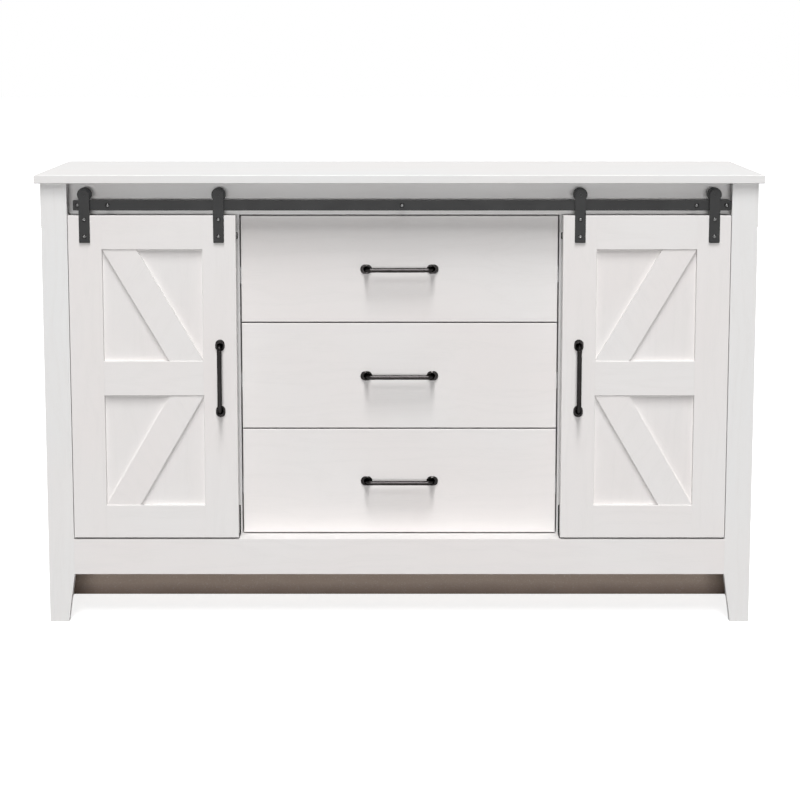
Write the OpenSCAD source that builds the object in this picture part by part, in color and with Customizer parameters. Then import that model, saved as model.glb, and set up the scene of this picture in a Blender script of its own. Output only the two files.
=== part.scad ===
// Sideboard buffet: three inset drawers between two barn doors that roll on a top rail.
// X runs to the right, Y from the front to the back, Z up; the floor is Z = 0.
// Depths (d) are measured backwards from the front faces of the legs.

/* [Body] */
// Width of the top
top_w = 1400; // [1300:10:1600]
// Depth of the top, front to back
top_d = 400; // [380:5:460]
// Height from the floor to the upper face of the top
total_h = 884; // [820:2:960]
// Thickness of the top
top_t = 16; // [12:1:25]
// How far the top reaches past each side
top_side_over = 10; // [0:1:20]
// How far the top reaches past the front legs
top_front_over = 10; // [0:1:20]
// Chamfer on the edges of the top and of the drawer fronts
edge_chamfer = 1; // [0.5:0.1:2]
// Thickness of sides, partitions, bottom, header, shelves and support board
board_t = 16; // [14:0.5:18]
// Thickness of the front legs and the apron
front_t = 16; // [14:0.5:18]
// Width of each front leg
leg_w = 50.5; // [46:0.5:60]
// Width of each front leg at the floor
leg_foot_w = 37; // [30:0.5:44]
// Height of the open space under the apron
foot_h = 96.5; // [80:0.5:110]
// Height of the apron
apron_h = 70.5; // [60:0.5:80]
// Height of the header board that carries the rail
header_h = 64.5; // [60:0.5:75]
// Distance from the leg fronts back to the header, partitions and drawer fronts
face_setback = 44; // [44:0.5:50]
// Thickness of the back panels
back_t = 4; // [3:0.5:5]
// Width of the step in each side panel that takes the back panel
back_rabbet = 8; // [5:0.5:10]
// Gap between two back panels
back_seam = 0.3; // [0.2:0.1:0.5]
// Clear width between the two partitions
centre_bay_w = 623.5; // [580:0.5:660]

/* [Shelves] */
// Height of the shelf's underside above the bottom panel
shelf_up = 311; // [250:1:380]
// Gap between a shelf and the board at each end
shelf_end_gap = 1; // [0.5:0.1:2]
// Distance of the shelf's front edge behind the partition's front edge
shelf_inset = 18; // [18:1:40]
// Diameter of the shelf pins
pin_dia = 5; // [4:0.5:6]
// Length of a pin inside its board
pin_in = 8; // [6:0.5:9]
// Length of the pin's tongue under the shelf
pin_out = 9; // [7:0.5:12]
// Thickness of the pin's tongue
pin_tongue_t = 2; // [1.5:0.1:2.5]
// Distance of the pins from the front and back edges of the shelf
pin_edge = 40; // [30:1:60]
// Distance between two pin holes of one row
pin_pitch = 32; // [25:1:40]
// Number of spare pin holes above and below the one in use
pin_spare = 1; // [0:1:3]

/* [Barn doors] */
// Thickness of the door's back board
door_back_t = 9; // [8:0.5:10]
// Thickness of the stiles and rails on the back board
door_frame_t = 7; // [6:0.5:8]
// Thickness of the diagonal braces
brace_t = 5.5; // [4:0.5:6]
// Width of a door stile
stile_w = 65; // [55:1:75]
// Height of the door's top and bottom rails
end_rail_h = 65.5; // [60:0.5:75]
// Height of the door's middle rail
mid_rail_h = 68; // [60:1:75]
// Width of a brace, measured along the rail that it meets
brace_w = 66; // [50:1:75]
// Chamfer on the door's front edges and round its four openings
frame_chamfer = 0.6; // [0.4:0.1:1]
// Gap between a closed door and its leg
door_leg_gap = 1; // [0.5:0.1:3]
// Gap between a door and the ledge under it
door_floor_gap = 3.2; // [3:0.1:6]
// How far a closed door covers the edge of its partition
door_lap = 12.25; // [11:0.25:13]
// How far a door covers the header
header_lap = 2; // [1:0.5:8]
// Depth of the guide groove in the door's bottom edge
groove_h = 8; // [7:0.5:10]
// Width of the guide groove
groove_w = 4; // [3.5:0.1:4.5]

/* [Rail and hangers] */
// Height of the rail bar
rail_h = 20; // [18:0.5:24]
// Thickness of the rail bar
rail_t = 5; // [4:0.5:6]
// Distance from the leg fronts back to the front of the rail
rail_setback = 5; // [4.5:0.5:6]
// Height of the rail's centre line above the lower edge of the header
rail_rise = 21.5; // [20.5:0.5:26]
// Gap between the rail's left end and the left leg
rail_left_gap = 11; // [8:0.5:14]
// Gap between the rail's right end and the right leg
rail_right_gap = 1; // [0.5:0.1:3]
// Corner radius of the rail's ends
rail_corner = 2; // [1:0.5:3]
// Distance of the outer bolts from the rail's ends
rail_bolt_end = 9; // [8:0.5:12]
// Distance between the outer and the next bolts
rail_bolt_step = 57.7; // [45:0.1:70]
// Diameter of the rail bolts
rail_bolt_dia = 6; // [5:0.5:6]
// Diameter of the rail bolt heads
rail_head_dia = 9; // [8:0.5:10]
// Height of the rail bolt heads
rail_head_h = 3; // [2:0.5:3]
// Length of a rail bolt inside the header
rail_bolt_grip = 12; // [8:0.5:13]
// Outer diameter of the spacers behind the rail
spacer_dia = 12; // [10:0.5:13]
// Width of a hanger strap
strap_w = 20.8; // [20:0.1:23]
// Thickness of a hanger strap
strap_t = 3; // [2:0.5:4]
// How far the strap reaches down over the door
strap_lap = 52.5; // [48:0.5:60]
// Corner radius at the strap's lower end
strap_corner = 2; // [1:0.5:3]
// Distance of the upper strap bolt below the top of the door
strap_bolt_drop = 7; // [7:0.5:12]
// Distance between the two bolts of a strap
strap_bolt_step = 33; // [28:0.5:36]
// Diameter of the strap bolts
strap_bolt_dia = 5; // [4:0.5:6]
// Diameter of the strap bolt heads
strap_head_dia = 8.5; // [7:0.5:10]
// Height of the strap bolt heads
strap_head_h = 2.6; // [2:0.1:3]
// Length of a strap bolt inside the door
strap_bolt_grip = 13; // [10:0.5:13]
// Radius of the wheel's tread
tread_r = 10.5; // [9.5:0.1:12]
// Height of the wheel's flanges over its tread
flange_h = 3; // [2:0.1:3]
// Thickness of a wheel flange at its rim
flange_t = 1.4; // [1.2:0.1:1.6]
// Extra width of the tread at each side of the rail
tread_play = 0.4; // [0.3:0.1:0.6]
// Height by which a flange's inner face leans out to its rim
flange_lean = 0.6; // [0.3:0.1:0.8]
// Diameter of the axle that a wheel turns on
axle_dia = 6; // [5:0.5:7]
// Diameter of the axle's collar and rear head
axle_head_dia = 10; // [9:0.5:12]
// Thickness of the axle's rear head
axle_head_t = 2.4; // [1.5:0.1:3]

/* [Door guides and buffers] */
// Width of a guide bracket
guide_w = 10; // [8:0.5:11]
// Height of the guide's flange on the partition
guide_h = 58; // [50:1:80]
// Thickness of the guide's plate
guide_t = 1.8; // [1.5:0.1:2]
// Height of the guide's fin above its foot
guide_fin_h = 7.6; // [6.5:0.1:8]
// Diameter of the guide screws
guide_screw_dia = 3.5; // [3:0.1:4]
// Diameter of the guide screw heads
guide_head_dia = 7.5; // [6.5:0.1:8]
// Height of the guide screw heads
guide_head_h = 2; // [1.5:0.1:2.5]
// Length of a guide screw inside the partition
guide_screw_grip = 14; // [10:0.5:18]
// Width of a buffer's base
buffer_w = 10; // [8:0.5:11]
// Height of a buffer's base
buffer_h = 13.5; // [12:0.5:16]
// Thickness of a buffer's base
buffer_base_t = 3; // [2:0.5:4]
// Corner radius of a buffer's base
buffer_corner = 2; // [1:0.5:3]
// Diameter of a buffer's post
buffer_dia = 8; // [6:0.5:8]
// Distance of the buffer's centre below the header
buffer_drop = 41; // [35:0.5:60]

/* [Drawers] */
// Number of drawers
drawer_n = 3; // [3:1:3]
// Gap above and below each drawer front
front_gap = 2.5; // [2:0.1:4]
// Gap between a drawer front and its partition
front_side_gap = 2.7; // [2:0.1:5]
// Thickness of a drawer front
front_board_t = 16; // [14:0.5:18]
// Thickness of a drawer's sides and back
box_t = 12; // [10:0.5:14]
// Height of a drawer's sides
box_h = 150; // [120:1:170]
// Height of the drawer sides' lower edge above that of the front
box_up = 16; // [12:1:20]
// Free depth behind a drawer box
box_back_gap = 26; // [20:1:40]
// Thickness of a drawer's bottom
box_bottom_t = 5; // [4:0.5:6]
// Height of the drawer bottom above the lower edge of the sides
box_bottom_up = 10; // [8:0.5:14]
// Depth of the grooves that take the drawer bottom
box_groove = 6; // [4:0.5:7]

/* [Drawer runners] */
// Space for a runner between a drawer side and its partition
runner_gap = 12.5; // [12:0.5:14]
// Height of the steel channel
channel_h = 32; // [28:1:36]
// Thickness of the channel's steel
channel_t = 1.2; // [1:0.1:1.5]
// Height of the lips along the channel's open side
channel_lip = 4; // [3:0.5:5]
// Gap between the channel and the drawer side
channel_gap = 1.5; // [1:0.1:2]
// Distance of the channel's front end behind the drawer front
runner_inset = 2; // [1:0.5:5]
// Length of bar that stays in the channel when the drawer is open
runner_keep = 75; // [70:1:100]
// Wall thickness of the sliding bar
bar_wall = 2.5; // [2:0.1:3]
// Length of the bar's stop pad
stop_l = 8; // [5:0.5:10]
// Height of the channel's stop lug, which ends the drawer's travel
stop_h = 2; // [1.5:0.1:2.5]

/* [Handles] */
// Distance between the two feet of a handle, centre to centre
handle_span = 130; // [96:1:160]
// Diameter of the handle's rod
handle_rod_dia = 8.7; // [8:0.1:10]
// Distance of the rod's centre line from the board
handle_out = 20; // [18:0.1:20]
// Radius of the bend between foot and rod
handle_bend = 9; // [8:0.5:11]
// Width of a foot across the handle
foot_dia = 18.5; // [17:0.1:20]
// Extra length of a foot along the handle
foot_stretch = 4.5; // [3:0.1:6]
// Thickness of the foot's plate
foot_plate_t = 1.8; // [1.5:0.1:2.5]
// Thickness of the raised ring on the foot
foot_ring_t = 1.2; // [1:0.1:1.5]
// Width of the raised ring on the foot
foot_ring_w = 2.4; // [2:0.1:3]
// Width of the foot's rim outside the raised ring
foot_rim_w = 1; // [0.8:0.1:1.5]
// How far the rod flares out at the foot
foot_flare = 1.2; // [0.8:0.1:2]
// Diameter of the handle screws
handle_screw_dia = 4; // [3:0.5:5]
// Length of a handle screw inside the foot
handle_screw_grip = 9; // [7:0.5:10]
// Diameter of the handle screw heads
handle_head_dia = 8; // [7:0.5:9]
// Height of the handle screw heads
handle_head_h = 2.2; // [1.5:0.1:2.6]

/* [Clearances] */
// Gap at each side of a bolt, screw, pin or panel in its hole or groove
fit = 0.1; // [0.05:0.01:0.15]
// Gap round the axle in a wheel
wheel_fit = 0.05; // [0.02:0.01:0.1]
// Gap between moving pieces that run along each other
run_gap = 0.3; // [0.2:0.05:0.4]

/* [Hidden] */
$fn = 48;

// Body
body_w = top_w - 2 * top_side_over;
body_d = top_d - top_front_over;
carcass_h = total_h - top_t;
side_in = body_w / 2 - board_t;
leg_in = body_w / 2 - leg_w;
back_d = body_d - back_t;
ledge_z = foot_h + apron_h;
bottom_z = ledge_z - board_t;
header_z = carcass_h - header_h;
part_in = centre_bay_w / 2;
part_out = part_in + board_t;
part_mid = (part_in + part_out) / 2;
handle_reach = handle_out + handle_rod_dia / 2;
front_y = handle_reach - (body_d + handle_reach) / 2;

// Shelves
shelf_z = ledge_z + shelf_up;
shelf_d = [face_setback + shelf_inset, back_d - 2 * shelf_end_gap];
shelf_x = [shelf_end_gap - side_in, -part_out - shelf_end_gap];
pin_d = [shelf_d[0] + pin_edge, shelf_d[1] - pin_edge];
pin_peg_z = shelf_z - pin_tongue_t / 2;

// Doors
door_t = door_back_t + door_frame_t;
door_x = [door_leg_gap - leg_in, -part_out + door_lap];
door_z = [ledge_z + door_floor_gap, header_z + header_lap];
door_mid_z = (door_z[0] + door_z[1]) / 2;
stile_out_x = door_x[0] + stile_w / 2;
stile_in_x = door_x[1] - stile_w / 2;
panel_x = [door_x[0] + stile_w, door_x[1] - stile_w];
low_panel_z = [door_z[0] + end_rail_h, door_mid_z - mid_rail_h / 2];
high_panel_z = [door_mid_z + mid_rail_h / 2, door_z[1] - end_rail_h];
groove_d = door_frame_t + (door_back_t - groove_w) / 2;

// Rail and hangers
rail_z = header_z + rail_rise;
rail_x = [rail_left_gap - leg_in, leg_in - rail_right_gap];
rail_back = rail_setback + rail_t;
rail_mid_x = (rail_x[0] + rail_x[1]) / 2;
rail_bolt_x = [
    rail_x[0] + rail_bolt_end,
    rail_x[0] + rail_bolt_end + rail_bolt_step,
    rail_mid_x,
    rail_x[1] - rail_bolt_end - rail_bolt_step,
    rail_x[1] - rail_bolt_end
];
wheel_z = rail_z + rail_h / 2 + run_gap + tread_r;
wheel_d = rail_setback + rail_t / 2;
tread_w = rail_t + 2 * tread_play;
wheel_w = tread_w + 2 * (flange_lean + flange_t);
wheel_half = wheel_w / 2;
strap_z = door_z[1] - strap_lap;
strap_bolt_z = [
    door_z[1] - strap_bolt_drop,
    door_z[1] - strap_bolt_drop - strap_bolt_step
];
hanger_x = [stile_out_x, stile_in_x];

// Guides and buffers
guide_x = [-part_mid - guide_w / 2, -part_mid + guide_w / 2];
guide_screw_z = ledge_z + guide_h / 2;
fin_d = groove_d + (groove_w - guide_t) / 2;
buffer_z = header_z - buffer_drop;

// Drawers
front_h = (header_z - ledge_z - (drawer_n + 1) * front_gap) / drawer_n;
front_half = part_in - front_side_gap;
front_back_d = face_setback + front_board_t;
box_half = part_in - runner_gap;
box_in = box_half - box_t;
box_d = [front_back_d, back_d - box_back_gap];
runner_d = [front_back_d + runner_inset, box_d[1] + runner_inset];
runner_l = runner_d[1] - runner_d[0];
drawer_travel = runner_l - runner_keep;
channel_w = runner_gap - channel_gap;
bar_head_u = channel_t + stop_h + run_gap;

function drawer_z(n) = ledge_z + front_gap + (drawer_n - n) * (front_h + front_gap);
function handle_z(n) = drawer_z(n) + front_h / 2;
function box_z(n) = drawer_z(n) + box_up;
function runner_z(n) = box_z(n) + box_h / 2;

// Colours
white = [0.91, 0.9, 0.89];
raw_board = [0.55, 0.45, 0.38];
charcoal = [0.25, 0.25, 0.25];
bronze_black = [0.16, 0.14, 0.14];
zinc = [0.7, 0.71, 0.72];
nylon = [0.85, 0.85, 0.82];
black_rubber = [0.1, 0.1, 0.1];

// ---------- Building blocks ----------

// Moves what is drawn in depths to the part's own frame.
module placed() {
    translate([0, front_y, 0]) children();
}

// Draws the left-hand shape (side = -1) or its mirror image (side = 1).
module on_side(side) {
    if (side < 0) children();
    else mirror([1, 0, 0]) children();
}

// A box between two limits along each axis.
module block(x, d, z) {
    translate([x[0], d[0], z[0]]) cube([x[1] - x[0], d[1] - d[0], z[1] - z[0]]);
}

// A flat shape in X and Z, made solid between two depths.
module plate(d) {
    translate([0, d[1], 0]) rotate([90, 0, 0]) linear_extrude(d[1] - d[0]) children();
}

// A flat shape in depth and Z, made solid between two X values.
module bar_along_x(x) {
    translate([x[0], 0, 0]) rotate([90, 0, 90]) linear_extrude(x[1] - x[0]) children();
}

// A round rod along the depth, centred on x and z.
module rod(dia, x, d, z) {
    translate([x, d[0], z]) rotate([-90, 0, 0]) cylinder(h = d[1] - d[0], d = dia);
}

// A rectangle with round corners.
module round_rect(x, z, r) {
    translate([x[0] + r, z[0]]) square([x[1] - x[0] - 2 * r, z[1] - z[0]]);
    translate([x[0], z[0] + r]) square([x[1] - x[0], z[1] - z[0] - 2 * r]);
    for (cx = [x[0] + r, x[1] - r], cz = [z[0] + r, z[1] - r])
        translate([cx, cz]) circle(r);
}

// The square turned on its corner that cuts a chamfer of size c.
module chamfer_outline(c) {
    polygon([[-c, 0], [0, -c], [c, 0], [0, c]]);
}

// Cuts a chamfer along the front edge of a board that stands at x, between two heights.
module chamfer_up(x, d, z, c) {
    translate([x, d, z[0]]) linear_extrude(z[1] - z[0]) chamfer_outline(c);
}

// Cuts a chamfer along the front edge of a board that lies at height z, between two X values.
module chamfer_along(x, d, z, c) {
    translate([0, d, z]) bar_along_x(x) chamfer_outline(c);
}

// A board whose four front edges are chamfered.
module faced_board(x, d, z, c) {
    difference() {
        block(x, d, z);
        for (edge = x) chamfer_up(edge, d[0], [z[0] - 1, z[1] + 1], c);
        for (edge = z) chamfer_along([x[0] - 1, x[1] + 1], d[0], edge, c);
    }
}

// A bolt that points backwards: a domed head in front of d, a shank behind it.
module bolt(dia, head_dia, head_h, x, d, z, length) {
    dome_r = (head_dia * head_dia / 4 + head_h * head_h) / (2 * head_h);
    socket = head_dia * 0.22;
    translate([x, d, z]) rotate([90, 0, 0]) difference() {
        union() {
            rotate_extrude() intersection() {
                square([head_dia / 2, head_h]);
                translate([0, head_h - dome_r]) circle(dome_r);
            }
            translate([0, 0, -length]) cylinder(h = length, d = dia);
        }
        translate([0, 0, head_h * 0.45]) cylinder(h = head_h, r = socket, $fn = 6);
    }
}

// ---------- Carcass ----------

module top_panel() {
    x = [-top_w / 2, top_w / 2];
    d = [-top_front_over, body_d];
    c = edge_chamfer;
    color(white) placed() intersection() {
        bar_along_x(x) polygon([
            [d[0], carcass_h + c], [d[0] + c, carcass_h], [d[1], carcass_h],
            [d[1], total_h - c], [d[1] - c, total_h], [d[0] + c, total_h],
            [d[0], total_h - c]
        ]);
        plate(d) polygon([
            [x[0], carcass_h + c], [x[0] + c, carcass_h], [x[1] - c, carcass_h],
            [x[1], carcass_h + c], [x[1], total_h - c], [x[1] - c, total_h],
            [x[0] + c, total_h], [x[0], total_h - c]
        ]);
    }
}

// The rows of blind holes for shelf pins in the board face at x; dir points into it.
module pin_holes(x, dir) {
    depth = pin_in + fit;
    for (d = pin_d, step = [-pin_spare : pin_spare])
        translate([x, d, pin_peg_z + step * pin_pitch]) rotate([0, dir * 90, 0])
            cylinder(h = depth, d = pin_dia + 2 * fit);
}

module side_panel(side) {
    color(white) placed() on_side(side) difference() {
        block([-body_w / 2, -side_in], [front_t, body_d], [0, carcass_h]);
        translate([0, 0, bottom_z])
            block([-side_in - back_rabbet, 1 - side_in], [back_d, body_d + 1], [0, carcass_h]);
        pin_holes(-side_in, -1);
    }
}

module front_leg(side) {
    color(white) placed() on_side(side) plate([0, front_t]) polygon([
        [-body_w / 2, 0], [leg_foot_w - body_w / 2, 0], [-leg_in, foot_h],
        [-leg_in, carcass_h], [-body_w / 2, carcass_h]
    ]);
}

module front_apron() {
    color(white) placed() block([-leg_in, leg_in], [0, front_t], [foot_h, ledge_z]);
}

module bottom_panel() {
    color(white) placed() block([-side_in, side_in], [front_t, back_d], [bottom_z, ledge_z]);
}

module support_board() {
    mid = body_d / 2;
    color(raw_board) placed()
        block([-side_in, side_in], [mid - board_t / 2, mid + board_t / 2], [0, bottom_z]);
}

module partition(side) {
    color(white) placed() on_side(side) difference() {
        block([-part_out, -part_in], [face_setback, back_d], [ledge_z, carcass_h]);
        block([-part_out - 1, 1 - part_in], [face_setback - 1, face_setback + board_t],
            [header_z, carcass_h + 1]);
        pin_holes(-part_out, 1);
        rod(guide_screw_dia + 2 * fit, -part_mid,
            [face_setback - 1, face_setback + guide_screw_grip + fit], guide_screw_z);
    }
}

module header_board() {
    color(white) placed() difference() {
        block([-side_in, side_in], [face_setback, face_setback + board_t],
            [header_z, carcass_h]);
        for (x = rail_bolt_x)
            rod(rail_bolt_dia + 2 * fit, x,
                [face_setback - 1, face_setback + rail_bolt_grip + fit], rail_z);
    }
}

module back_panels() {
    edge = side_in + back_rabbet;
    half_seam = back_seam / 2;
    color(raw_board) placed() for (x = [
        [-edge, -part_mid - half_seam],
        [half_seam - part_mid, part_mid - half_seam],
        [part_mid + half_seam, edge]
    ]) block(x, [back_d, body_d], [bottom_z, carcass_h]);
}

module shelves() {
    color(white) placed() for (side = [-1, 1])
        on_side(side) block(shelf_x, shelf_d, [shelf_z, shelf_z + board_t]);
}

// A pin in the board face at x: a round peg in the board and a flat tongue outside it.
module shelf_pin(x, dir, d) {
    tongue_x = dir > 0 ? [x - pin_out, x] : [x, x + pin_out];
    translate([x, d, pin_peg_z]) rotate([0, dir * 90, 0]) cylinder(h = pin_in, d = pin_dia);
    block(tongue_x, [d - pin_dia / 2, d + pin_dia / 2], [shelf_z - pin_tongue_t, shelf_z]);
}

module shelf_pins() {
    color(zinc) placed() for (side = [-1, 1], d = pin_d) on_side(side) {
        shelf_pin(-side_in, -1, d);
        shelf_pin(-part_out, 1, d);
    }
}

// ---------- Rail ----------

module barn_rail() {
    color(charcoal) placed() difference() {
        plate([rail_setback, rail_back])
            round_rect(rail_x, [rail_z - rail_h / 2, rail_z + rail_h / 2], rail_corner);
        for (x = rail_bolt_x)
            rod(rail_bolt_dia + 2 * fit, x, [rail_setback - 1, rail_back + 1], rail_z);
    }
}

module rail_bolts() {
    length = face_setback + rail_bolt_grip - rail_setback;
    color(charcoal) placed() for (x = rail_bolt_x)
        bolt(rail_bolt_dia, rail_head_dia, rail_head_h, x, rail_setback, rail_z, length);
}

module rail_spacers() {
    color(charcoal) placed() for (x = rail_bolt_x) difference() {
        rod(spacer_dia, x, [rail_back, face_setback], rail_z);
        rod(rail_bolt_dia + 2 * fit, x, [rail_back - 1, face_setback + 1], rail_z);
    }
}

// ---------- Door guides and buffers ----------

// A bracket bent from flat steel: flange on the partition, foot under the door, fin in its groove.
module door_guides() {
    foot_z = ledge_z + guide_t;
    flange_d = face_setback - guide_t;
    color(charcoal) placed() for (side = [-1, 1]) on_side(side) difference() {
        bar_along_x(guide_x) polygon([
            [fin_d, ledge_z], [face_setback, ledge_z], [face_setback, ledge_z + guide_h],
            [flange_d, ledge_z + guide_h], [flange_d, foot_z], [fin_d + guide_t, foot_z],
            [fin_d + guide_t, foot_z + guide_fin_h], [fin_d, foot_z + guide_fin_h]
        ]);
        rod(guide_screw_dia + 2 * fit, -part_mid, [flange_d - 1, face_setback + 1],
            guide_screw_z);
    }
}

module guide_screws() {
    color(charcoal) placed() for (side = [-1, 1])
        bolt(guide_screw_dia, guide_head_dia, guide_head_h, side * part_mid,
            face_setback - guide_t, guide_screw_z, guide_t + guide_screw_grip);
}

module door_buffers() {
    base_d = [face_setback - buffer_base_t, face_setback];
    tip_d = door_t + run_gap;
    tip_r = buffer_dia / 2;
    color(black_rubber) placed() for (side = [-1, 1]) on_side(side) {
        plate(base_d) round_rect(
            [-part_mid - buffer_w / 2, -part_mid + buffer_w / 2],
            [buffer_z - buffer_h / 2, buffer_z + buffer_h / 2], buffer_corner);
        rod(buffer_dia, -part_mid, [tip_d + tip_r, base_d[0]], buffer_z);
        translate([-part_mid, tip_d + tip_r, buffer_z]) sphere(tip_r);
    }
}

// ---------- Barn doors ----------

// Holes for the strap bolts and the handle screws, from depth d[0] to d[1].
module door_bolt_holes(d) {
    for (x = hanger_x, z = strap_bolt_z)
        rod(strap_bolt_dia + 2 * fit, x, [d[0], min(d[1], strap_bolt_grip + fit)], z);
    for (end = [-1, 1])
        rod(handle_screw_dia + 2 * fit, stile_in_x, d, door_mid_z + end * handle_span / 2);
}

module door_panel(side) {
    color(white) placed() on_side(side) difference() {
        block(door_x, [door_frame_t, door_t], door_z);
        block([door_x[0] - 1, door_x[1] + 1], [groove_d, groove_d + groove_w],
            [door_z[0] - 1, door_z[0] + groove_h]);
        door_bolt_holes([door_frame_t - 1, door_t + 1]);
    }
}

// Cuts the chamfers along the door's outline.
module outline_chamfers() {
    for (x = door_x) chamfer_up(x, 0, [door_z[0] - 1, door_z[1] + 1], frame_chamfer);
    for (z = door_z) chamfer_along([door_x[0] - 1, door_x[1] + 1], 0, z, frame_chamfer);
}

module door_stiles(side) {
    color(white) placed() on_side(side) difference() {
        for (x = [[door_x[0], panel_x[0]], [panel_x[1], door_x[1]]])
            block(x, [0, door_frame_t], door_z);
        outline_chamfers();
        for (x = panel_x, opening = [low_panel_z, high_panel_z])
            chamfer_up(x, 0, opening, frame_chamfer);
        door_bolt_holes([-1, door_frame_t + 1]);
    }
}

module door_rails(side) {
    color(white) placed() on_side(side) difference() {
        for (z = [
            [door_z[0], low_panel_z[0]],
            [low_panel_z[1], high_panel_z[0]],
            [high_panel_z[1], door_z[1]]
        ]) block(panel_x, [0, door_frame_t], z);
        outline_chamfers();
        for (z = concat(low_panel_z, high_panel_z))
            chamfer_along([panel_x[0] - 1, panel_x[1] + 1], 0, z, frame_chamfer);
    }
}

// A brace between two rails: from x = a at the bottom to x = b at the top.
module brace(a, b, z) {
    plate([door_frame_t - brace_t, door_frame_t])
        polygon([[a, z[0]], [a + brace_w, z[0]], [b + brace_w, z[1]], [b, z[1]]]);
}

module door_braces(side) {
    color(white) placed() on_side(side) {
        brace(panel_x[1] - brace_w, panel_x[0], high_panel_z);
        brace(panel_x[0], panel_x[1] - brace_w, low_panel_z);
    }
}

// A handle along X on the face at depth 0: a bent rod between two feet.
module bow_handle() {
    rod_r = handle_rod_dia / 2;
    bend_d = handle_bend - handle_out;
    bend_x = handle_span / 2 - handle_bend;
    ring_r = foot_dia / 2 - foot_rim_w;
    difference() {
        union() {
            translate([-bend_x, -handle_out, 0]) rotate([0, 90, 0])
                cylinder(h = 2 * bend_x, r = rod_r);
            for (side = [-1, 1]) on_side(side) {
                translate([-bend_x, bend_d, 0]) rotate([0, 0, 180])
                    rotate_extrude(angle = 90) translate([handle_bend, 0]) circle(rod_r);
                rod(handle_rod_dia, -handle_span / 2, [bend_d, 0], 0);
                handle_foot(ring_r);
            }
        }
        for (end = [-1, 1])
            rod(handle_screw_dia + 2 * fit, end * handle_span / 2,
                [-handle_screw_grip - fit, 1], 0);
    }
}

// A long round outline about the handle's left foot.
module foot_outline(r) {
    translate([-(handle_span + foot_stretch) / 2, 0]) circle(r);
    translate([-(handle_span - foot_stretch) / 2, 0]) circle(r);
    translate([-(handle_span + foot_stretch) / 2, -r]) square([foot_stretch, 2 * r]);
}

module handle_foot(ring_r) {
    ring_top = foot_plate_t + foot_ring_t;
    plate([-foot_plate_t, 0]) foot_outline(foot_dia / 2);
    plate([-ring_top, -foot_plate_t]) difference() {
        foot_outline(ring_r);
        foot_outline(ring_r - foot_ring_w);
    }
    translate([-handle_span / 2, -foot_plate_t, 0]) rotate([90, 0, 0])
        cylinder(h = ring_top, r1 = handle_rod_dia / 2 + foot_flare, r2 = handle_rod_dia / 2);
}

// A handle screw behind a board: it points forwards from depth d.
module handle_screw(x, d, z, board) {
    translate([x, d, z]) rotate([0, 0, 180])
        bolt(handle_screw_dia, handle_head_dia, handle_head_h, 0, 0, 0,
            board + handle_screw_grip);
}

module door_handle(side) {
    color(bronze_black) placed() on_side(side)
        translate([stile_in_x, 0, door_mid_z]) rotate([0, 90, 0]) bow_handle();
}

module door_straps(side) {
    color(charcoal) placed() on_side(side) for (x = hanger_x) difference() {
        plate([-strap_t, 0]) {
            round_rect([x - strap_w / 2, x + strap_w / 2],
                [strap_z, wheel_z], strap_corner);
            translate([x, wheel_z]) circle(d = strap_w);
            translate([x - strap_w / 2, wheel_z - strap_corner])
                square([strap_w, strap_corner]);
        }
        rod(axle_dia + 2 * fit, x, [-strap_t - 1, 1], wheel_z);
        for (z = strap_bolt_z) rod(strap_bolt_dia + 2 * fit, x, [-strap_t - 1, 1], z);
    }
}

module door_fasteners(side) {
    color(charcoal) placed() on_side(side) {
        for (x = hanger_x, z = strap_bolt_z)
            bolt(strap_bolt_dia, strap_head_dia, strap_head_h, x, -strap_t, z,
                strap_t + strap_bolt_grip);
        for (end = [-1, 1])
            handle_screw(stile_in_x, door_t, door_mid_z + end * handle_span / 2, door_t);
    }
}

// A shoulder pin: flush in the strap, a collar behind it, the journal and a rear head.
module wheel_axle(x) {
    front_d = wheel_d - wheel_half - run_gap;
    rear_d = wheel_d + wheel_half + run_gap;
    rod(axle_dia, x, [-strap_t, rear_d + axle_head_t], wheel_z);
    rod(axle_head_dia, x, [0, front_d], wheel_z);
    rod(axle_head_dia, x, [rear_d, rear_d + axle_head_t], wheel_z);
}

module door_axles(side) {
    color(charcoal) placed() on_side(side) for (x = hanger_x) wheel_axle(x);
}

// A grooved wheel: a tread on the rail's upper edge between two leaning flanges.
module wheel(side, x) {
    bore_r = axle_dia / 2 + wheel_fit;
    rim_r = tread_r + flange_h;
    half = tread_w / 2;
    color(charcoal) placed() on_side(side)
        translate([x, wheel_d, wheel_z]) rotate([90, 0, 0]) rotate_extrude() polygon([
            [bore_r, -wheel_half], [rim_r, -wheel_half], [rim_r, -wheel_half + flange_t],
            [tread_r, -half], [tread_r, half], [rim_r, wheel_half - flange_t],
            [rim_r, wheel_half], [bore_r, wheel_half]
        ]);
}

// ---------- Drawers ----------

module drawer_front(n) {
    z = [drawer_z(n), drawer_z(n) + front_h];
    bottom = box_z(n) + box_bottom_up;
    color(white) placed() difference() {
        faced_board([-front_half, front_half], [face_setback, front_back_d], z, edge_chamfer);
        block([-box_in - box_groove, box_in + box_groove],
            [front_back_d - box_groove, front_back_d + 1],
            [bottom - fit, bottom + box_bottom_t + fit]);
        for (end = [-1, 1])
            rod(handle_screw_dia + 2 * fit, end * handle_span / 2,
                [face_setback - 1, front_back_d + 1], handle_z(n));
    }
}

// Two sides with a groove for the bottom, and the back that stands on the bottom.
module drawer_walls(n) {
    bottom = box_z(n) + box_bottom_up;
    z = [box_z(n), box_z(n) + box_h];
    color(white) placed() {
        for (side = [-1, 1]) on_side(side) difference() {
            block([-box_half, -box_in], box_d, z);
            block([-box_in - box_groove, 1 - box_in], [box_d[0] - 1, box_d[1] + 1],
                [bottom - fit, bottom + box_bottom_t + fit]);
        }
        block([fit - box_in, box_in - fit], [box_d[1] - box_t, box_d[1]],
            [bottom + box_bottom_t, z[1]]);
    }
}

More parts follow.
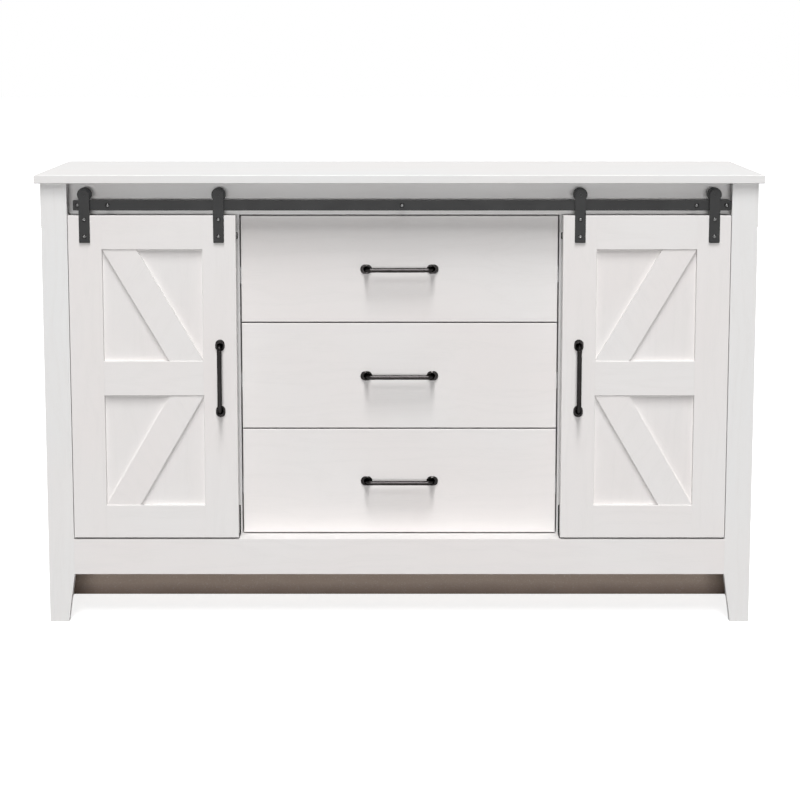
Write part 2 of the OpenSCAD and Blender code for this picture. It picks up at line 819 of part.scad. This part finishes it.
module drawer_bottom(n) {
    bottom = box_z(n) + box_bottom_up;
    edge = box_in + box_groove - fit;
    color(white) placed() block([-edge, edge], [box_d[0] - box_groove + fit, box_d[1]],
        [bottom, bottom + box_bottom_t]);
}

module drawer_handle(n) {
    color(bronze_black) placed() translate([0, face_setback, handle_z(n)]) bow_handle();
}

module drawer_screws(n) {
    color(zinc) placed() for (end = [-1, 1])
        handle_screw(end * handle_span / 2, front_back_d, handle_z(n), front_board_t);
}

// Runner sections are drawn from the partition's face: u towards the drawer, v up.
// The steel channel screwed to the partition, with lips, a rear wall and a stop lug.
module runner_channel(n) {
    w = channel_w;
    t = channel_t;
    h = channel_h / 2;
    lip = h - channel_lip;
    lug_end = runner_d[1] - stop_l - drawer_travel - run_gap;
    rear_d = runner_d[1] + run_gap;
    translate([-part_in, 0, runner_z(n)]) {
        plate([runner_d[0], rear_d]) polygon([
            [0, -h], [w, -h], [w, -lip], [w - t, -lip], [w - t, t - h], [t, t - h],
            [t, h - t], [w - t, h - t], [w - t, lip], [w, lip], [w, h], [0, h]
        ]);
        block([0, w], [rear_d, rear_d + t], [-h, h]);
        block([0, channel_t + stop_h], [lug_end - stop_l / 2, lug_end], [-h / 3, h / 3]);
    }
}

module runner_channels() {
    color(zinc) placed() for (n = [1 : drawer_n], side = [-1, 1])
        on_side(side) runner_channel(n);
}

// The nylon bar screwed to the drawer side: a head inside the channel, a neck between its lips.
module runner_bar(n) {
    head = channel_h / 2 - channel_t - run_gap;
    neck = channel_h / 2 - channel_lip - run_gap;
    lip_u = channel_w - channel_t - run_gap;
    hollow = neck - bar_wall;
    u0 = bar_head_u;
    u1 = runner_gap - bar_wall;
    translate([-part_in, 0, runner_z(n)]) {
        plate(runner_d) polygon([
            [u0, -head], [lip_u, -head], [lip_u, -neck], [runner_gap, -neck],
            [runner_gap, neck], [lip_u, neck], [lip_u, head], [u0, head],
            [u0, hollow], [u1, hollow], [u1, -hollow], [u0, -hollow]
        ]);
        block([channel_t + run_gap, u1], [runner_d[1] - stop_l, runner_d[1]],
            [-hollow, hollow]);
    }
}

module drawer_runner_bars(n) {
    color(nylon) placed() for (side = [-1, 1]) on_side(side) runner_bar(n);
}

// ---------- Drawing ----------

top_panel();
side_panel(-1);  // left_side_panel
side_panel(1);  // right_side_panel
front_leg(-1);  // left_front_leg
front_leg(1);  // right_front_leg
front_apron();
bottom_panel();
support_board();
partition(-1);  // left_partition
partition(1);  // right_partition
header_board();
back_panels();
shelves();
shelf_pins();
barn_rail();
rail_bolts();
rail_spacers();
door_guides();
guide_screws();
door_buffers();
runner_channels();
door_panel(-1);  // left_door_panel
door_stiles(-1);  // left_door_stiles
door_rails(-1);  // left_door_rails
door_braces(-1);  // left_door_braces
door_handle(-1);  // left_door_handle
door_straps(-1);  // left_door_straps
door_fasteners(-1);  // left_door_fasteners
door_axles(-1);  // left_door_axles
wheel(-1, stile_out_x);  // left_outer_wheel
wheel(-1, stile_in_x);  // left_inner_wheel
door_panel(1);  // right_door_panel
door_stiles(1);  // right_door_stiles
door_rails(1);  // right_door_rails
door_braces(1);  // right_door_braces
door_handle(1);  // right_door_handle
door_straps(1);  // right_door_straps
door_fasteners(1);  // right_door_fasteners
door_axles(1);  // right_door_axles
wheel(1, stile_out_x);  // right_outer_wheel
wheel(1, stile_in_x);  // right_inner_wheel
drawer_front(1);  // drawer_1_front
drawer_walls(1);  // drawer_1_walls
drawer_bottom(1);  // drawer_1_bottom
drawer_handle(1);  // drawer_1_handle
drawer_screws(1);  // drawer_1_screws
drawer_runner_bars(1);  // drawer_1_runner_bars
drawer_front(2);  // drawer_2_front
drawer_walls(2);  // drawer_2_walls
drawer_bottom(2);  // drawer_2_bottom
drawer_handle(2);  // drawer_2_handle
drawer_screws(2);  // drawer_2_screws
drawer_runner_bars(2);  // drawer_2_runner_bars
drawer_front(3);  // drawer_3_front
drawer_walls(3);  // drawer_3_walls
drawer_bottom(3);  // drawer_3_bottom
drawer_handle(3);  // drawer_3_handle
drawer_screws(3);  // drawer_3_screws
drawer_runner_bars(3);  // drawer_3_runner_bars
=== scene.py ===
"""The looks of a white-washed sideboard buffet with two barn doors and three drawers.

Units are metres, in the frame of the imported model: X to the right, Y to the back, Z up.
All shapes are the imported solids. This script gives them materials, light and a camera.
"""

import math

import bpy
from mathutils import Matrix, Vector


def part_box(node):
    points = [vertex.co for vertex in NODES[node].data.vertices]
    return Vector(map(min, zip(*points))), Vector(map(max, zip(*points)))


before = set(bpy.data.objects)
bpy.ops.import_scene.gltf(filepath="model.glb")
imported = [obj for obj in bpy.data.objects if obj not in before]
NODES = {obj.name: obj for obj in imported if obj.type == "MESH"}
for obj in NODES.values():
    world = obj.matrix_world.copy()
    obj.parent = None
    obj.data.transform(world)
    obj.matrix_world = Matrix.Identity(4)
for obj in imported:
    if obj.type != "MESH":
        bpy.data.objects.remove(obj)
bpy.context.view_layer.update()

# ---------------------------------------------------------------- colours (linear)
WASH = (0.815, 0.813, 0.809)  # white wash on the body
WASH_PATCH = (0.820, 0.804, 0.795)  # its faint warm patches
WARM_WASH = (0.823, 0.803, 0.794)  # white wash on doors, drawers and apron
WARM_PATCH = (0.823, 0.788, 0.776)
WASH_GRAIN = (0.756, 0.735, 0.722)  # where the grain shows through
WASH_EDGE = (0.818, 0.806, 0.796)  # where the paint is rubbed along the edges
WASH_SIDE_SHADE = (0.715, 0.701, 0.691)  # greyer wash on the boards' narrow sides, partly painted shade that dims the ledges and brace edges lit from above
BOARD_BROWN = (0.540, 0.440, 0.375)  # bare fibreboard
BOARD_DARK = (0.420, 0.325, 0.265)
BOARD_FLOOR_SHADE = (0.200, 0.145, 0.118)  # painted shade on the support board, darker towards the floor
STEEL_BLACK = (0.0155, 0.0155, 0.0157)  # powder-coated steel
STEEL_WORN = (0.050, 0.050, 0.050)
GUIDE_BLACK = (0.007, 0.007, 0.007)  # guides between the doors and drawers
BOLT_BLACK = (0.048, 0.048, 0.048)  # blackened bolts, burnished at the rims
BOLT_BRIGHT = (0.460, 0.455, 0.450)
BRONZE_BLACK = (0.0155, 0.0143, 0.0142)  # dark handles
BRONZE_WORN = (0.200, 0.188, 0.182)
BRONZE_RIM = (0.05, 0.05, 0.05, 1)  # keeps the handles dark where they curve away
ZINC = (0.56, 0.57, 0.58)
ZINC_DARK = (0.38, 0.38, 0.39)
NYLON = (0.74, 0.73, 0.70)
NYLON_BLOOM = (0.818, 0.806, 0.796)
RUBBER = (0.010, 0.010, 0.010)
RUBBER_BLOOM = (0.050, 0.050, 0.050)
WHITE = (1.0, 1.0, 1.0)
NO_TINT = (1, 1, 1, 1)

# ---------------------------------------------------------------- node helpers
SEED_SHIFT = {"X": 13.0, "Y": 7.0, "Z": 19.0}  # how far a pattern moves between objects
EDGE_BEGINS, EDGE_FULL = 0.995, 0.86  # cosines between the soft and the flat normal
BEVEL_SAMPLES = 4
BACKGROUND_RAYS = ("Is Camera Ray", "Is Glossy Ray", "Is Transmission Ray")
# A Mix node's first input, second input and output, for each type of data.
MIX_SOCKETS = {"RGBA": (6, 7, 2), "VECTOR": (4, 5, 1)}


class Tree:
    """A node tree, with short calls that add nodes to it."""

    def __init__(self, tree):
        self.tree = tree

    def add(self, kind, inputs, **settings):
        node = self.tree.nodes.new("ShaderNode" + kind)
        for key, value in settings.items():
            setattr(node, key, value)
        for key, value in inputs.items():
            self.feed(node.inputs[key], value)
        return node

    def feed(self, socket, value):
        """Links another node's socket to this one, or sets a plain value on it."""
        if isinstance(value, bpy.types.NodeSocket):
            self.tree.links.new(value, socket)
        elif socket.type == "RGBA":
            socket.default_value = (*value, 1)
        else:
            socket.default_value = value

    def math(self, operation, a, b=0.0, clamp=False):
        return self.add("Math", {0: a, 1: b}, operation=operation, use_clamp=clamp).outputs[0]

    def vector(self, operation, a, b):
        outputs = self.add("VectorMath", {0: a, 1: b}, operation=operation).outputs
        return outputs["Value" if operation == "DOT_PRODUCT" else "Vector"]

    def part(self, vector, axis):
        """One coordinate of a vector."""
        return self.add("SeparateXYZ", {"Vector": vector}).outputs[axis]

    def mix(self, data_type, factor, a, b):
        first, second, out = MIX_SOCKETS[data_type]
        inputs = {0: factor, first: a, second: b}
        return self.add("Mix", inputs, data_type=data_type).outputs[out]

    def blend(self, factor, a, b):
        """Colour a where the factor is 0, colour b where it is 1."""
        return self.mix("RGBA", factor, a, b)

    def between(self, value, low, high, to_low=0.0, to_high=1.0):
        """Maps low..high to to_low..to_high, and holds the ends."""
        inputs = {
            "Value": value,
            "From Min": low,
            "From Max": high,
            "To Min": to_low,
            "To Max": to_high,
        }
        return self.add("MapRange", inputs, clamp=True).outputs["Result"]

    def noise(self, at, scale, detail=2.0, roughness=0.5):
        inputs = {"Vector": at, "Scale": scale, "Detail": detail, "Roughness": roughness}
        return self.add("TexNoise", inputs).outputs["Fac"]

    def position(self):
        """The rest-frame position on the piece."""
        return self.add("TexCoord", {}).outputs["Object"]

    def place(self):
        """The rest-frame position, shifted by a fixed amount for each object."""
        seed = self.add("ObjectInfo", {}).outputs["Random"]
        shift = {axis: self.math("MULTIPLY", seed, far) for axis, far in SEED_SHIFT.items()}
        shift = self.add("CombineXYZ", shift).outputs["Vector"]
        return self.vector("ADD", self.position(), shift)

    def sees_background(self):
        """1 for rays that should see the plain background, 0 for diffuse light."""
        rays = self.add("LightPath", {}).outputs
        total = rays[BACKGROUND_RAYS[0]]
        for ray in BACKGROUND_RAYS[1:]:
            total = self.math("ADD", total, rays[ray], clamp=True)
        return total


class Material(Tree):
    """One material: its node tree, and calls that fill in its shader."""

    def __init__(self, name):
        self.material = bpy.data.materials.new(name)
        self.material.use_nodes = True
        super().__init__(self.material.node_tree)
        self.shader = self.tree.nodes["Principled BSDF"]

    def soft_edges(self, radius):
        """Normals that run smoothly round an edge, and a mask of the edges."""
        soft = self.add("Bevel", {"Radius": radius}, samples=BEVEL_SAMPLES).outputs["Normal"]
        flat = self.add("NewGeometry", {}).outputs["Normal"]
        mask = self.between(self.vector("DOT_PRODUCT", soft, flat), EDGE_BEGINS, EDGE_FULL)
        return soft, mask

    def bump(self, height, strength, distance, normal):
        inputs = {"Height": height, "Strength": strength, "Distance": distance, "Normal": normal}
        self.feed(self.shader.inputs["Normal"], self.add("Bump", inputs).outputs["Normal"])

    def finish(self, colour, roughness, **plain):
        """Feeds the shader; the plain values are set on its own sockets."""
        self.feed(self.shader.inputs["Base Color"], colour)
        self.feed(self.shader.inputs["Roughness"], roughness)
        for key, value in plain.items():
            self.shader.inputs[key.replace("_", " ")].default_value = value
        return self.material


# ---------------------------------------------------------------- materials
ALONG, ACROSS = 1.0, 15.0  # how often the grain changes along and across a board
STRETCH = {
    "x": (ALONG, ACROSS, ACROSS),
    "y": (ACROSS, ALONG, ACROSS),
    "z": (ACROSS, ACROSS, ALONG),
}
RINGS = 62.0  # how closely the year rings follow each other
GRAIN_SHOWS, PORES_SHOW, EDGES_SHOW = 0.34, 0.26, 0.6
FACE_COSINE, SIDE_COSINE = 0.9, 0.3  # a board's broad face and its narrow sides
RUBBED_METAL = 0.75  # how much of the coating is gone on an edge
CLOUD_GAIN = 2.2  # how much lighter the clouds on coated metal are
FIBRE_STRETCH = (1.0, 4.0, 4.0)
ROLLED_STRETCH = (30.0, 1.0, 30.0)
SHADE_RAGGED = 0.004  # the painted shade's upper edge wanders by this much
FLOOR_SHADE_SHOWS = 0.8


def turn_grain(net, shifted, level, angle):
    """Turns the grain to lean one way above a height and the other way below it."""
    upper, lower = (
        net.add(
            "VectorRotate", {"Vector": shifted, "Angle": turn}, rotation_type="Y_AXIS"
        ).outputs[0]
        for turn in (angle, -angle)
    )
    above = net.math("GREATER_THAN", net.part(net.position(), "Z"), level)
    return net.mix("VECTOR", above, lower, upper)


def washed_wood(name, grain, wash, patch, side=None, braces=None):
    """White wash over faint grain that runs along one axis.

    side is the colour of the narrow sides, if it differs, partly painted shade on lit ledges.
    braces is the height between a door's two braces and the upper one's angle.
    """
    net = Material(name)
    shifted = net.place()
    if braces:
        shifted = turn_grain(net, shifted, *braces)
    stretched = net.vector("MULTIPLY", shifted, STRETCH[grain])
    wave = net.noise(shifted, 2.6)
    wave = net.add("CombineXYZ", {"X": wave, "Y": wave, "Z": wave}).outputs["Vector"]
    wavy = net.vector("ADD", stretched, wave)
    fibre = net.noise(wavy, 24.0, detail=6.0, roughness=0.62)
    pores = net.between(net.noise(wavy, 55.0), 0.60, 0.74)
    rings = net.noise(wavy, 0.85, detail=3.0, roughness=0.45)
    rings = net.math("SINE", net.math("MULTIPLY", rings, RINGS))
    figure = net.between(rings, -0.2, 1.0)
    patches = net.between(net.noise(shifted, 3.2, detail=3.0), 0.35, 0.65)
    rubbed = net.between(net.noise(shifted, 40.0, detail=3.0), 0.35, 0.62)
    soft, edges = net.soft_edges(0.0006)

    colour = net.blend(patches, wash, patch)
    shown = net.math("MULTIPLY", figure, net.between(fibre, 0.35, 0.72))
    colour = net.blend(net.math("MULTIPLY", shown, GRAIN_SHOWS), colour, WASH_GRAIN)
    colour = net.blend(net.math("MULTIPLY", pores, PORES_SHOW), colour, WASH_GRAIN)
    worn = net.math("MULTIPLY", edges, rubbed)
    colour = net.blend(net.math("MULTIPLY", worn, EDGES_SHOW), colour, WASH_EDGE)
    # the narrow sides get the greyer side colour: partly painted shade that dims the ledges and
    # brace edges lit from above
    if side:
        facing = net.part(net.add("TexCoord", {}).outputs["Normal"], "Y")
        narrow_side_shade = net.between(net.math("ABSOLUTE", facing), FACE_COSINE, SIDE_COSINE)
        colour = net.blend(narrow_side_shade, colour, side)

    height = net.math("SUBTRACT", fibre, net.math("MULTIPLY", pores, 0.5))
    net.bump(height, strength=0.22, distance=0.0004, normal=soft)
    roughness = net.between(fibre, 0.2, 0.8, 0.46, 0.60)
    return net.finish(colour, roughness, Specular_IOR_Level=0.32)


def raw_board(name, floor_shade_height=0.0):
    """Bare brown fibreboard, mottled with short fibres, with painted shade up to a height above the
    floor.
    """
    net = Material(name)
    shifted = net.place()
    clouds = net.noise(shifted, 9.0, detail=4.0, roughness=0.6)
    fibres = net.vector("MULTIPLY", shifted, FIBRE_STRETCH)
    fibres = net.noise(fibres, 160.0, detail=4.0, roughness=0.7)
    specks = net.between(net.noise(shifted, 420.0, detail=1.0), 0.62, 0.74)
    soft, _ = net.soft_edges(0.0010)

    mottling = net.between(clouds, 0.3, 0.7, 0.3, 0.7)
    colour = net.blend(mottling, BOARD_BROWN, BOARD_DARK)
    colour = net.blend(net.between(fibres, 0.42, 0.7, 0.0, 0.5), colour, BOARD_DARK)
    colour = net.blend(net.math("MULTIPLY", specks, 0.35), colour, WASH_GRAIN)
    # painted shade: the board darkens towards the floor, standing in for the shade where it meets
    # the floor
    if floor_shade_height:
        ragged = net.between(clouds, 0.3, 0.7, -SHADE_RAGGED, SHADE_RAGGED)
        height = net.math("ADD", net.part(net.position(), "Z"), ragged)
        floor_shade = net.between(height, floor_shade_height, 0.0, 0.0, FLOOR_SHADE_SHOWS)
        colour = net.blend(floor_shade, colour, BOARD_FLOOR_SHADE)

    net.bump(fibres, strength=0.35, distance=0.0004, normal=soft)
    roughness = net.between(fibres, 0.2, 0.8, 0.62, 0.85)
    return net.finish(colour, roughness, Specular_IOR_Level=0.25)


def coated_metal(name, base, worn, rough, metallic, specular, texture_scale=900.0, tint=NO_TINT):
    """Dark coated metal: fine texture, cloudy sheen, coating thinned on the edges."""
    net = Material(name)
    shifted = net.place()
    texture = net.noise(shifted, texture_scale, roughness=0.6)
    clouds = net.noise(shifted, 30.0, detail=3.0)
    thinned = net.between(net.noise(shifted, 120.0, detail=3.0), 0.40, 0.62)
    soft, edges = net.soft_edges(0.0007)

    cloudy = tuple(CLOUD_GAIN * part for part in base)
    colour = net.blend(net.between(clouds, 0.3, 0.7, 0.0, 0.3), base, cloudy)
    rubbed = net.math("MULTIPLY", edges, thinned)
    colour = net.blend(net.math("MULTIPLY", rubbed, RUBBED_METAL), colour, worn)

    net.bump(texture, strength=0.30, distance=0.00025, normal=soft)
    sheen = net.between(clouds, 0.3, 0.7, rough - 0.05, rough + 0.05)
    roughness = net.math("ADD", sheen, net.between(texture, 0.2, 0.8, -0.04, 0.04))
    return net.finish(
        colour, roughness, Metallic=metallic, Specular_IOR_Level=specular, Specular_Tint=tint
    )


def zinc_plate(name):
    """Rolled zinc-plated steel: fine drawn lines along the depth, cloudy spangle."""
    net = Material(name)
    shifted = net.place()
    lines = net.vector("MULTIPLY", shifted, ROLLED_STRETCH)
    lines = net.noise(lines, 60.0, detail=4.0, roughness=0.6)
    spangle = net.between(net.noise(shifted, 90.0), 0.35, 0.65)
    soft, _ = net.soft_edges(0.0006)
    net.bump(lines, strength=0.15, distance=0.0002, normal=soft)
    roughness = net.between(lines, 0.25, 0.75, 0.28, 0.42)
    return net.finish(net.blend(spangle, ZINC, ZINC_DARK), roughness, Metallic=0.9)


def moulded(name, base, bloom, rough, bumpiness):
    """Moulded plastic or rubber: fine pitted skin and a slight bloom."""
    net = Material(name)
    shifted = net.place()
    skin = net.noise(shifted, 700.0, roughness=0.6)
    patches = net.between(net.noise(shifted, 60.0, detail=3.0), 0.35, 0.7, 0.0, 0.5)
    soft, _ = net.soft_edges(0.0006)
    net.bump(skin, strength=bumpiness, distance=0.0002, normal=soft)
    roughness = net.between(skin, 0.2, 0.8, rough - 0.06, rough + 0.06)
    return net.finish(net.blend(patches, base, bloom), roughness)


# ---------------------------------------------------------------- which piece gets which
STILE_WIDTH = 0.065
BRACE_WIDTH = 0.066
MIDDLE_RAIL = 0.068


def brace_slope(door):
    """The height between a door's two braces, and each brace's angle off the vertical."""
    low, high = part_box(door + "_door_panel")
    braces_low, braces_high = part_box(door + "_door_braces")
    run = high.x - low.x - 2 * STILE_WIDTH - BRACE_WIDTH
    rise = (braces_high.z - braces_low.z - MIDDLE_RAIL) / 2
    return (low.z + high.z) / 2, math.atan2(run, rise)


def brace_wood(door, turn):
    """The wood of a door's braces; turn is the way that the upper one leans."""
    level, lean = brace_slope(door)
    return washed_wood(
        f"washed_wood_{door}_braces", "z", WARM_WASH, WARM_PATCH, WASH_SIDE_SHADE, (level, turn * lean)
    )


# Each material, and how the names of its nodes end. The first one that fits is used.
FINISHES = (
    (
        washed_wood("washed_body_x", "x", WASH, WASH_PATCH),
        ("top_panel", "header_board", "shelves"),
    ),
    (
        washed_wood("washed_body_z", "z", WASH, WASH_PATCH),
        ("side_panel", "front_leg", "partition"),
    ),
    (
        washed_wood("washed_wood_x", "x", WARM_WASH, WARM_PATCH, WASH_SIDE_SHADE),
        ("front_apron", "bottom_panel", "door_rails", "_front"),
    ),
    (
        washed_wood("washed_wood_y", "y", WARM_WASH, WARM_PATCH),
        ("_walls", "_bottom"),
    ),
    (
        washed_wood("washed_wood_z", "z", WARM_WASH, WARM_PATCH, WASH_SIDE_SHADE),
        ("door_panel", "door_stiles"),
    ),
    (brace_wood("left", -1), ("left_door_braces",)),
    (brace_wood("right", 1), ("right_door_braces",)),
    (
        coated_metal("black_steel", STEEL_BLACK, STEEL_WORN, rough=0.48, metallic=0, specular=0.2),
        ("barn_rail", "rail_spacers", "door_straps", "door_axles", "_wheel"),
    ),
    (
        coated_metal("guide_steel", GUIDE_BLACK, STEEL_BLACK, rough=0.50, metallic=0, specular=0.2),
        ("door_guides",),
    ),
    (
        coated_metal("bolt_steel", BOLT_BLACK, BOLT_BRIGHT, rough=0.22, metallic=1, specular=0.5),
        ("rail_bolts", "guide_screws", "door_fasteners"),
    ),
    (
        coated_metal(
            "handle_metal",
            BRONZE_BLACK,
            BRONZE_WORN,
            rough=0.18,
            metallic=1,
            specular=0.5,
            texture_scale=700.0,
            tint=BRONZE_RIM,
        ),
        ("_handle",),
    ),
    (zinc_plate("zinc_steel"), ("shelf_pins", "runner_channels", "_screws")),
    (raw_board("raw_board"), ("back_panels",)),
    # the support board gets painted shade near the floor
    (raw_board("floor_shaded_board", floor_shade_height=0.025), ("support_board",)),
    (moulded("nylon", NYLON, NYLON_BLOOM, rough=0.42, bumpiness=0.10), ("runner_bars",)),
    (moulded("black_rubber", RUBBER, RUBBER_BLOOM, rough=0.70, bumpiness=0.30), ("door_buffers",)),
)

for name in sorted(NODES):
    material = next((finish for finish, ends in FINISHES if name.endswith(ends)), None)
    if material is None:
        raise SystemExit(f"no material for {name}")
    slots = NODES[name].data.materials
    slots.clear()
    slots.append(material)

# ---------------------------------------------------------------- floor and surroundings
FLOOR_WHITE = 0.90  # the floor's colour in the camera and in reflections
FLOOR_CLOUD = 0.02  # how much it varies
FLOOR_LIFT = 0.80  # brings the lit floor up to white, and keeps the shadow
FLOOR_BOUNCE = 0.14  # the floor's colour for the light that it throws back
FLOOR_HALF = 30.0
AMBIENT = 0.06


def grey(value):
    return (value, value, value)


floor_mesh = bpy.data.meshes.new("floor")
floor_mesh.from_pydata(
    [
        (-FLOOR_HALF, -FLOOR_HALF, 0),
        (FLOOR_HALF, -FLOOR_HALF, 0),
        (FLOOR_HALF, FLOOR_HALF, 0),
        (-FLOOR_HALF, FLOOR_HALF, 0),
    ],
    [],
    [(0, 1, 2, 3)],
)
floor = bpy.data.objects.new("floor", floor_mesh)
bpy.context.scene.collection.objects.link(floor)
net = Material("floor_white")
seen = net.sees_background()
clouds = net.noise(net.position(), 3.0)
shown = net.blend(clouds, grey(FLOOR_WHITE), grey(FLOOR_WHITE + FLOOR_CLOUD))
net.feed(net.shader.inputs["Emission Color"], WHITE)
net.feed(net.shader.inputs["Emission Strength"], net.math("MULTIPLY", seen, FLOOR_LIFT))
floor_mesh.materials.append(
    net.finish(net.blend(seen, grey(FLOOR_BOUNCE), shown), 0.9, Specular_IOR_Level=0.0)
)

world = bpy.data.worlds.new("studio")
bpy.context.scene.world = world
world.use_nodes = True
sky = Tree(world.node_tree)
ambient = sky.tree.nodes["Background"]
sky.feed(ambient.inputs["Color"], WHITE)
sky.feed(ambient.inputs["Strength"], AMBIENT)
backdrop = sky.add("Background", {"Color": WHITE, "Strength": 1.0})
surface = sky.add(
    "MixShader", {0: sky.sees_background(), 1: ambient.outputs[0], 2: backdrop.outputs[0]}
)
sky.feed(sky.tree.nodes["World Output"].inputs["Surface"], surface.outputs[0])

# ---------------------------------------------------------------- lamps
TARGET = Vector((0, -0.18, 0.45))  # the middle of the object's front
STUDIO_DISTANCE = 30.0  # far enough that the light doesn't fall off over the object
LOW = 0.45  # side and back lamps stay below the top, so that it doesn't mirror them
SIDE_X, SIDE_Y = 7.0, 0.9
BACK_Y = 7.5


def lamp(name, place, size, power):
    """A soft rectangular lamp that points at the middle of the front."""
    data = bpy.data.lights.new(name, "AREA")
    data.shape = "RECTANGLE"
    data.size, data.size_y = size
    data.energy = power
    obj = bpy.data.objects.new(name, data)
    obj.visible_camera = False
    bpy.context.scene.collection.objects.link(obj)
    obj.location = place
    obj.rotation_euler = (TARGET - Vector(place)).to_track_quat("-Z", "Y").to_euler()


def studio_lamp(name, elevation, size, power):
    """A lamp straight in front of the object, at an elevation in degrees from its middle."""
    tilt = math.radians(elevation)
    away = Vector((0, -math.cos(tilt), math.sin(tilt)))
    lamp(name, TARGET + STUDIO_DISTANCE * away, size, power)


studio_lamp("low_key", 52, (5.0, 10.5), 3400)
studio_lamp("high_key", 70.5, (5.0, 7.4), 6000)
studio_lamp("front", 1.5, (9.0, 2.6), 2960)
lamp("left_side", (-SIDE_X, SIDE_Y, LOW), (4.0, 0.8), 240)
lamp("right_side", (SIDE_X, SIDE_Y, LOW), (4.0, 0.8), 240)
lamp("back", (0, BACK_Y, LOW), (5.0, 0.8), 330)

# ---------------------------------------------------------------- camera
CAMERA_Y = -3.8428
CAMERA_Z = 1.158
CAMERA_PITCH = 7.428  # degrees below the horizon
SENSOR_WIDTH = 36  # millimetres, as is the lens
LENS = 86.02
SHIFT_X, SHIFT_Y = 0.00075, -0.15
CLIP_END = 100

camera = bpy.data.objects.new("camera", bpy.data.cameras.new("camera"))
bpy.context.scene.collection.objects.link(camera)
camera.location = (0, CAMERA_Y, CAMERA_Z)
camera.rotation_euler = (math.radians(90 - CAMERA_PITCH), 0, 0)
camera.data.sensor_width = SENSOR_WIDTH
camera.data.lens = LENS
camera.data.shift_x = SHIFT_X
camera.data.shift_y = SHIFT_Y
camera.data.clip_end = CLIP_END
bpy.context.scene.camera = camera
bpy.context.scene.view_settings.view_transform = "Standard"
